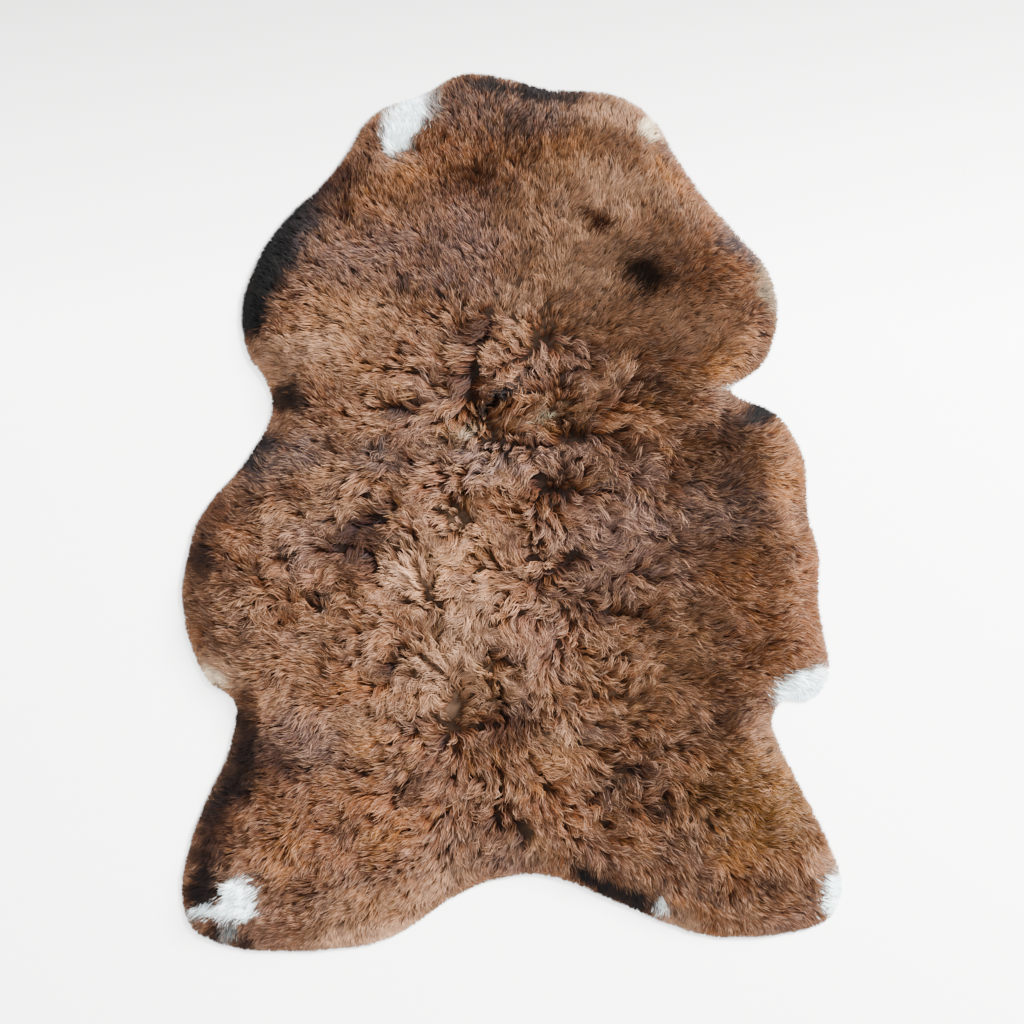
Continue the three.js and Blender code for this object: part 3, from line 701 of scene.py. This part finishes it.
def grow(pelt, coat, x, y, rng, bearing=None, reach=None):
    """Paths, half widths, side vectors and colours of the strands of guides at x, y."""
    count = len(x)
    curl = curliness(x, y)
    lean = 1
    if bearing is None:
        swing = math.radians(coat.wander)
        bearing, lean = flow(pelt, x, y)
        bearing = bearing + swing * noise(x, y, 25, 31) + 0.6 * swing * noise(x, y, 10, 32)
    bend = math.radians(coat.bend) * (noise(x, y, 27, 33) + 0.15 * rng.uniform(-1, 1, count))
    bend = bend * (0.4 + 0.6 * curl)
    wave = math.radians(coat.wave) * (0.9 + 0.4 * noise(x, y, 31, 34))
    waves = 1.2 + 0.4 * noise(x, y, 43, 37)
    phase = 1.3 * math.pi * noise(x, y, 35, 36) + rng.normal(0, 0.2, count)
    neck = soft_step((y - NECK_LOW) / (NECK_HIGH - NECK_LOW)) * (1 - curl)
    long = reach
    if reach is None:
        long = coat.reach * (1 - NECK_SHORTER * neck) * lean * rng.uniform(0.8, 1.15, count)
    # Painted light and shade: higher tufts are lighter, and the wool between them darker
    tuft = 0.8 * noise(x, y, 22, 61) + 0.6 * noise(x, y, 11, 62)
    light = np.exp(TUFT_PAINTED_LIGHT * tuft + rng.normal(0, LOCK_LIGHT, count))

    def spread(values):
        """One value a lock, repeated for each of its strands."""
        return np.repeat(values, coat.strands)

    total = count * coat.strands
    angle = rng.uniform(0, 2 * math.pi, total)
    away = coat.spacing * 0.64 * np.sqrt(rng.uniform(0, 1, total))
    off_x, off_y = away * np.cos(angle), away * np.sin(angle)
    root_x, root_y = spread(x) + off_x, spread(y) + off_y
    s = np.linspace(0, 1, coat.levels)[None, :]
    turns, amount = spread(waves)[:, None], spread(wave)[:, None]
    scattered = math.radians(coat.scatter) * rng.normal(0, 1, total)[:, None]
    own_phase = (spread(phase) + rng.normal(0, 0.2, total))[:, None]
    heading = (
        spread(bearing)[:, None]
        + scattered
        + spread(bend)[:, None] * s
        + amount * np.sin(2 * math.pi * (turns * s) + own_phase)
    )
    room = pelt.at(pelt.inside, root_x, root_y) + rng.uniform(-2, 2.5, total)
    own_long = spread(long) * rng.uniform(0.72, 1.12, total)
    own_long = np.minimum(own_long, np.maximum(room, LEAST_LENGTH))
    step = own_long[:, None] / (coat.levels - 1)
    run_x = np.cumsum(np.cos(heading[:, :-1]) * step, axis=1)
    run_y = np.cumsum(np.sin(heading[:, :-1]) * step, axis=1)
    zero = np.zeros((total, 1))
    pull = coat.clump * spread(1 - 0.5 * neck)[:, None] * s
    path_x = root_x[:, None] + np.hstack([zero, run_x]) - pull * off_x[:, None]
    path_y = root_y[:, None] + np.hstack([zero, run_y]) - pull * off_y[:, None]
    under = pelt.at(pelt.base, path_x, path_y)
    over = pelt.at(pelt.top, path_x, path_y)
    rise = coat.rise * (rng.uniform(0.75, 1.1, total) * (1 + TUFT_RISE * spread(tuft)))[:, None]
    ripple = amount * 1.6 * np.sin(2 * math.pi * turns * s + spread(phase)[:, None]) * s
    lift = (over - under) * rise * s ** 0.62 + ripple
    path_z = np.maximum(under + lift, FLOOR_CLEARANCE + 0.4)
    path_z[:, 0] = under[:, 0] - ROOT_DEPTH
    path = np.stack([path_x, path_y, path_z], axis=-1)

    tangent = np.gradient(path, axis=1)
    tangent /= np.linalg.norm(tangent, axis=2, keepdims=True) + 1e-9
    flat = np.stack([-tangent[..., 1], tangent[..., 0], np.zeros_like(path_x)], axis=-1)
    flat /= np.linalg.norm(flat, axis=2, keepdims=True) + 1e-9
    up = np.cross(tangent, flat)
    roll = rng.uniform(-ROLL, ROLL, total)[:, None]
    roll = roll + 0.5 * (s - 0.5) * rng.uniform(-1, 1, total)[:, None]
    side = flat * np.cos(roll)[..., None] + up * np.sin(roll)[..., None]
    taper = np.interp(s[0, :-1], (0, 0.3, 0.75, 1), (0.8, 1, 0.72, 0.4))
    own_width = spread(1 - NECK_FINER * neck) * rng.uniform(0.75, 1.25, total)
    half = coat.width / 2 * taper[None, :] * own_width[:, None]

    along = rng.uniform(0.1, 1, total)
    stray = np.where(rng.random(total) < STRAY_SHARE, STRAY_REACH, 0)
    seen_x = root_x + along * (path_x[:, -1] - root_x) + stray * rng.uniform(-1, 1, total)
    seen_y = root_y + along * (path_y[:, -1] - root_y) + stray * rng.uniform(-1, 1, total)
    colour = wool_colour(seen_x, seen_y)
    pale = colour.mean(axis=1)
    pale_share = paleness(pale)
    mixed = linear_palette(LOCK_HUES)[rng.integers(0, len(LOCK_HUES), count)]
    share = spread(rng.uniform(0, LOCK_HUE_SHARE, count))
    share = share * (1 - pale_share) * soft_step((pale - DARK) / 0.06)
    colour += share[:, None] * (np.repeat(mixed, coat.strands, axis=0) - colour)
    own = spread(light) * np.exp(rng.normal(0, STRAND_LIGHT, total))
    own = own ** (1 - 0.6 * pale_share)
    # Painted shade: each strand darkens from its tip down to its root, less on the neck and on pale
    # wool
    root_painted_shade = ROOT_PAINTED_SHADE + NECK_ROOT_PAINTED_SHADE * spread(neck) + PALE_ROOT_PAINTED_SHADE * pale_share
    tip_shade = TIP_SHADE + PALE_TIP_SHADE * pale_share
    power = spread(PAINTED_SHADE_POWER - NECK_PAINTED_SHADE_POWER * neck)[:, None]
    shade = root_painted_shade[:, None] + (tip_shade - root_painted_shade)[:, None] * s ** power
    warm = np.clip(((colour[:, 0] - colour[:, 2]) / pale - 0.5) / 0.8, 0, 1) * (1 - pale_share)
    hue = 1 + (ROOT_HUE - 1) * warm[:, None, None] * (1 - s ** 0.8)[..., None]
    tint = colour[:, None, :] * (own[:, None] * shade)[..., None] * hue
    bleached = BLEACH * (rng.random(total) < BLEACHED_SHARE)
    bleached = bleached * (1 - pale_share) * soft_step((pale - DARK) / 0.08)
    bleached_tip = BLEACHED_SHADE * linear(COLOURS["sand"])
    tint += (bleached[:, None] * s ** 3)[..., None] * (bleached_tip - tint)
    return {"path": path, "half": half, "side": side, "tint": np.clip(tint, 0.002, 0.95)}


def ribbon_mesh(name, part):
    """One mesh of pointed ribbons, with a colour at each corner and one UV cell a strand."""
    path, half, side, tint = part["path"], part["half"], part["side"], part["tint"]
    count, levels = path.shape[:2]
    offset = side[:, :-1] * half[..., None]
    pairs = np.stack([path[:, :-1] + offset, path[:, :-1] - offset], axis=2).reshape(count, -1, 3)
    places = np.concatenate([pairs, path[:, -1:]], axis=1).reshape(-1, 3)
    pair_tints = np.repeat(tint[:, :-1], 2, axis=1)
    tints = np.concatenate([pair_tints, tint[:, -1:]], axis=1).reshape(-1, 3)

    # Corners of a strand: two at each level but the last, and one at its tip
    corners = 2 * (levels - 1) + 1
    quads = [[2 * k, 2 * k + 1, 2 * k + 3, 2 * k + 2] for k in range(levels - 2)]
    tip = [2 * levels - 4, 2 * levels - 3, 2 * levels - 2]
    pattern = np.array([c for quad in quads for c in quad] + tip)
    sizes = np.array([4] * (levels - 2) + [3])
    begins = np.concatenate([[0], np.cumsum(sizes)[:-1]])
    strand = np.arange(count)
    loops = (strand[:, None] * corners + pattern).ravel()
    starts = (strand[:, None] * len(pattern) + begins).ravel()

    columns = int(math.ceil(math.sqrt(count * 4)))
    rows = int(math.ceil(count / columns))
    share = np.linspace(0.06, 0.94, levels)
    local = [[(0.15, 0.85)[c % 2], share[c // 2]] for c in range(corners - 1)] + [[0.5, share[-1]]]
    cell = np.stack([strand % columns, strand // columns], axis=1)
    uvs = (cell[:, None, :] + np.array(local)[pattern][None]) / (columns, rows)
    return raw_mesh(name, places, loops, starts, tints, uvs.reshape(-1, 2))


def raw_mesh(name, places, loops, starts, tints, uvs=None):
    """A mesh object from flat arrays: places in mm, face corners, face starts and colours."""
    mesh = bpy.data.meshes.new(name)
    mesh.vertices.add(len(places))
    mesh.vertices.foreach_set("co", (places * MM).astype(np.float32).ravel())
    mesh.loops.add(len(loops))
    mesh.loops.foreach_set("vertex_index", loops.astype(np.int32))
    mesh.polygons.add(len(starts))
    mesh.polygons.foreach_set("loop_start", starts.astype(np.int32))
    mesh.update(calc_edges=True)
    mesh.polygons.foreach_set("use_smooth", np.ones(len(starts), bool))
    tint = mesh.attributes.new("tint", "FLOAT_COLOR", "POINT")
    opaque = np.hstack([tints, np.ones((len(tints), 1))])
    tint.data.foreach_set("color", opaque.astype(np.float32).ravel())
    if uvs is not None:
        layer = mesh.uv_layers.new(name="OFBake")
        layer.data.foreach_set("uv", uvs.astype(np.float32).ravel())
    made = bpy.data.objects.new(name, mesh)
    bpy.context.scene.collection.objects.link(made)
    return made


# Hide and undercoat


def make_hide(pelt):
    """The suede side: a thin closed sheet a little smaller than the wool."""
    loop = pelt.rim
    before, after = np.roll(loop, 1, axis=0), np.roll(loop, -1, axis=0)
    run = after - before
    out = np.stack([run[:, 1], -run[:, 0]], axis=1) / np.linalg.norm(run, axis=1, keepdims=True)
    area = 0.5 * np.sum(loop[:, 0] * after[:, 1] - after[:, 0] * loop[:, 1])
    edge = loop + out * math.copysign(RIM_INSET - HIDE_INSET, area)
    following = np.roll(edge, -1, axis=0)
    area = 0.5 * abs(np.sum(edge[:, 0] * following[:, 1] - following[:, 0] * edge[:, 1]))
    middle = np.array(HIDE_MIDDLE)
    rings = [middle + (edge - middle) * share for share in HIDE_SHARES]
    size, count = len(edge), len(rings)
    places, loops, starts = [], [], []
    for height in (0.0, HIDE_THICKNESS):
        for ring in rings:
            places += [(px, py, height) for px, py in ring]
        places.append((middle[0], middle[1], height))
    layer = size * count + 1

    def face(*corners):
        starts.append(len(loops))
        loops.extend(corners)

    for top in (0, 1):
        first = top * layer
        for k in range(count - 1):
            for i in range(size):
                j = (i + 1) % size
                a, b = first + k * size + i, first + k * size + j
                c, d = b + size, a + size
                face(*((a, b, c, d) if top else (a, d, c, b)))
        last = first + (count - 1) * size
        for i in range(size):
            a, b, hub = last + i, last + (i + 1) % size, first + size * count
            face(*((a, b, hub) if top else (b, a, hub)))
    for i in range(size):
        j = (i + 1) % size
        face(i, j, layer + j, layer + i)
    places = np.array(places)
    tints = np.ones((len(places), 3)) * linear(HIDE_COLOUR)
    made = raw_mesh("hide", places, np.array(loops), np.array(starts), tints)
    made.data.polygons.foreach_set("use_smooth", np.zeros(len(starts), bool))
    return made, area


def make_undercoat(pelt):
    """The dense wool under the strands: a closed lumpy mat whose border follows the edge."""
    wide, high = MAP_X - UNDERCOAT_MARGIN, MAP_Y - UNDERCOAT_MARGIN
    xs = np.arange(-wide, wide, UNDERCOAT_CELL, dtype=float)
    ys = np.arange(-high, high, UNDERCOAT_CELL, dtype=float)
    x, y = np.meshgrid(xs, ys)
    depth = pelt.at(pelt.inside, x, y) - UNDERCOAT_INSET
    within = depth > 0
    cells = within[:-1, :-1] | within[1:, :-1] | within[:-1, 1:] | within[1:, 1:]
    for _ in range(3):
        depth = pelt.at(pelt.inside, x, y) - UNDERCOAT_INSET
        moved = np.where(within, 0, depth)
        x = x + moved * pelt.at(pelt.out_x, x, y)
        y = y + moved * pelt.at(pelt.out_y, x, y)
    used = np.zeros_like(within)
    used[:-1, :-1] |= cells
    used[1:, :-1] |= cells
    used[:-1, 1:] |= cells
    used[1:, 1:] |= cells
    number = np.full(used.shape, -1)
    number[used] = np.arange(used.sum())
    px, py = x[used], y[used]
    top = pelt.at(pelt.base, px, py) + UNDERCOAT_LUMPS * noise(px, py, 9, 41)
    top = np.maximum(top, HIDE_THICKNESS + 0.6)
    bottom = np.full(len(px), HIDE_THICKNESS + 0.1)
    a, b = number[:-1, :-1][cells], number[:-1, 1:][cells]
    c, d = number[1:, 1:][cells], number[1:, :-1][cells]
    upper = np.stack([a, b, c, d], axis=1)
    lower = upper[:, ::-1] + len(px)
    starts_at = np.concatenate([upper[:, k] for k in range(4)])
    ends_at = np.concatenate([upper[:, (k + 1) % 4] for k in range(4)])
    pairs = {(int(p), int(q)) for p, q in zip(starts_at, ends_at)}
    rim = [(p, q) for p, q in sorted(pairs) if (q, p) not in pairs]
    wall = np.array([[q, p, p + len(px), q + len(px)] for p, q in rim])
    faces = np.concatenate([upper, lower, wall])
    places = np.concatenate([np.stack([px, py, height], axis=1) for height in (top, bottom)])
    # Painted shade: the undercoat has the wool's colour darkened almost to black, as between the
    # strands, and pale wool much less
    tints = wool_colour(px, py)
    pale = paleness(tints.mean(axis=1))[:, None]
    tints = tints * (UNDERCOAT_PAINTED_SHADE + (PALE_UNDERCOAT_PAINTED_SHADE - UNDERCOAT_PAINTED_SHADE) * pale)
    tints = np.concatenate([tints, tints])
    return raw_mesh("undercoat", places, faces.ravel(), np.arange(len(faces)) * 4, tints)


# Materials


def new_material(name):
    """A material with its nodes, its links and its shader."""
    made = bpy.data.materials.new(name)
    made.use_nodes = True
    nodes = made.node_tree.nodes
    return made, nodes, made.node_tree.links, nodes["Principled BSDF"]


def noise_value(nodes, links, place, scale, detail):
    """The value of a noise texture at a place."""
    node = nodes.new("ShaderNodeTexNoise")
    node.inputs["Scale"].default_value = scale
    node.inputs["Detail"].default_value = detail
    links.new(place, node.inputs["Vector"])
    return node.outputs["Fac"]


def mapped(nodes, links, value, low, high, start=0.0, end=1.0):
    """A value spread out: low where it is start, and high where it is end."""
    node = nodes.new("ShaderNodeMapRange")
    node.inputs["From Min"].default_value = start
    node.inputs["From Max"].default_value = end
    node.inputs["To Min"].default_value = low
    node.inputs["To Max"].default_value = high
    links.new(value, node.inputs["Value"])
    return node.outputs["Result"]


def add_nap(nodes, links, shader, fine, gloss, strength, distance):
    """Roughness and bump from one fine noise."""
    links.new(mapped(nodes, links, fine, *gloss), shader.inputs["Roughness"])
    bump = nodes.new("ShaderNodeBump")
    bump.inputs["Strength"].default_value = strength
    bump.inputs["Distance"].default_value = distance
    links.new(fine, bump.inputs["Height"])
    links.new(bump.outputs["Normal"], shader.inputs["Normal"])


def fleece_material(name, grain, specular):
    """Wool: the strands' colours, painted shade and light included, with a fine mottle, fine bump
    and uneven gloss.
    """
    made, nodes, links, shader = new_material(name)
    shader.inputs["Specular IOR Level"].default_value = specular
    place = nodes.new("ShaderNodeTexCoord").outputs["Object"]
    tint = nodes.new("ShaderNodeAttribute")
    tint.attribute_name = "tint"
    mottle = noise_value(nodes, links, place, scale=130, detail=4)
    shades = mapped(nodes, links, mottle, low=0.78, high=1.2, start=0.3, end=0.7)
    mix = nodes.new("ShaderNodeMix")
    mix.data_type = "RGBA"
    mix.blend_type = "MULTIPLY"
    mix.inputs["Factor"].default_value = 1
    links.new(tint.outputs["Color"], mix.inputs[6])
    links.new(shades, mix.inputs[7])
    links.new(mix.outputs[2], shader.inputs["Base Color"])
    fine = noise_value(nodes, links, place, scale=grain, detail=2)
    add_nap(nodes, links, shader, fine, gloss=(0.5, 0.8), strength=0.25, distance=0.0004)
    return made


def suede_material():
    """The flesh side: pale suede with a soft mottle and a fine nap."""
    made, nodes, links, shader = new_material("suede")
    place = nodes.new("ShaderNodeTexCoord").outputs["Object"]
    ramp = nodes.new("ShaderNodeValToRGB")
    stops = ramp.color_ramp.elements
    for stop, position, colour in ((stops[0], 0.32, SUEDE_DARK), (stops[1], 0.68, SUEDE_PALE)):
        stop.position = position
        stop.color = (*linear(colour), 1)
    links.new(noise_value(nodes, links, place, scale=9, detail=6), ramp.inputs["Fac"])
    links.new(ramp.outputs["Color"], shader.inputs["Base Color"])
    nap = noise_value(nodes, links, place, scale=620, detail=3)
    add_nap(nodes, links, shader, nap, gloss=(0.78, 0.96), strength=0.35, distance=0.0006)
    return made


def floor_material():
    """A plain pale floor, with painted shade that makes it a little darker past the neck end, and a
    faint glow of painted light.
    """
    made, nodes, links, shader = new_material("floor")
    shader.inputs["Roughness"].default_value = 0.9
    shader.inputs["Emission Strength"].default_value = FLOOR_GLOW
    split = nodes.new("ShaderNodeSeparateXYZ")
    links.new(nodes.new("ShaderNodeTexCoord").outputs["Object"], split.inputs["Vector"])
    y = split.outputs["Y"]
    pale = mapped(nodes, links, y, FLOOR_DARK, FLOOR_PALE, FLOOR_DARK_AT, FLOOR_PALE_AT)
    links.new(pale, shader.inputs["Base Color"])
    links.new(pale, shader.inputs["Emission Color"])
    return made


# The scene


def add_floor():
    """The floor that the pelt lies on, which isn't part of it."""
    bpy.ops.mesh.primitive_plane_add(size=FLOOR_SIZE, location=(0, 0, -FLOOR_DROP))
    floor = bpy.context.object
    floor.name = "floor"
    floor.data.materials.append(floor_material())


def add_lights():
    """A pale sky, a soft key light from the upper right and a wide light from above."""
    world = bpy.data.worlds.new("studio")
    bpy.context.scene.world = world
    world.use_nodes = True
    background = world.node_tree.nodes["Background"]
    background.inputs["Color"].default_value = SKY_COLOUR
    background.inputs["Strength"].default_value = SKY_STRENGTH
    for name, place, size, energy in LIGHTS:
        light = bpy.data.lights.new(name, "AREA")
        light.size = size
        light.energy = energy
        light.color = LIGHT_COLOUR
        lamp = bpy.data.objects.new(name, light)
        lamp.location = place
        lamp.rotation_euler = (-Vector(place)).to_track_quat("-Z", "Y").to_euler()
        bpy.context.scene.collection.objects.link(lamp)


def add_camera():
    """A camera straight above the pelt, as in the photograph."""
    data = bpy.data.cameras.new("camera")
    data.sensor_width = SENSOR
    data.lens = SENSOR * CAMERA_HEIGHT / VIEW_SPAN
    camera = bpy.data.objects.new("camera", data)
    camera.location = (0, 0, CAMERA_HEIGHT * MM)
    bpy.context.scene.collection.objects.link(camera)
    bpy.context.scene.camera = camera


def split_by_height(parts, names):
    """Strands cut into as many bands across the pelt as there are names, from the neck down."""
    order = np.argsort(-parts["path"][:, 0, 1], kind="stable")
    bands = np.array_split(order, len(names))
    return {
        name: {key: value[band] for key, value in parts.items()}
        for name, band in zip(names, bands)
    }


def grow_all(pelt, rng):
    """The strands of each wool piece, by its name."""
    x, y = lattice(SHORT.spacing, rng)
    keep = (pelt.at(pelt.inside, x, y) > SHORT_FROM) & (rng.random(len(x)) > curliness(x, y))
    short = grow(pelt, SHORT, x[keep], y[keep], rng)
    x, y = lattice(WAVY.spacing, rng)
    keep = (pelt.at(pelt.inside, x, y) > WAVY_FROM) & (rng.random(len(x)) < curliness(x, y))
    wavy = grow(pelt, WAVY, x[keep], y[keep], rng)
    bands = split_by_height(short, ("wool_neck", "wool_flanks", "wool_rump"))
    bands.update(split_by_height(wavy, ("curls_withers", "curls_back", "curls_loin")))

    x, y = lattice(FRINGE.spacing, rng)
    inside = pelt.at(pelt.inside, x, y)
    keep = (inside > FRINGE_FROM) & (inside < FRINGE_TO)
    x, y, inside = x[keep], y[keep], inside[keep]
    outward = np.arctan2(pelt.at(pelt.out_y, x, y), pelt.at(pelt.out_x, x, y))
    bearing = outward + math.radians(FRINGE_SWING) * noise(x, y, 16, 51)
    reach = inside + rng.uniform(0, 4, len(x))
    bands["fringe"] = grow(pelt, FRINGE, x, y, rng, bearing, reach)
    return bands


def main():
    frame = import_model()
    add_camera()
    add_lights()
    add_floor()
    pelt = PeltMap(frame["nodes"]["sheepskin"])
    undercoat = make_undercoat(pelt)
    undercoat.data.materials.append(fleece_material("undercoat_wool", 900, 0.04))
    pieces = [undercoat]
    wool = fleece_material("wool", 1500, 0.08)
    for name, band in grow_all(pelt, np.random.default_rng(SEED)).items():
        piece = ribbon_mesh(name, band)
        piece.data.materials.append(wool)
        pieces.append(piece)

    hide, area = make_hide(pelt)
    hide.data.materials.append(suede_material())
    for piece in [hide, *pieces]:
        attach(piece, "root")
        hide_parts("sheepskin")


main()
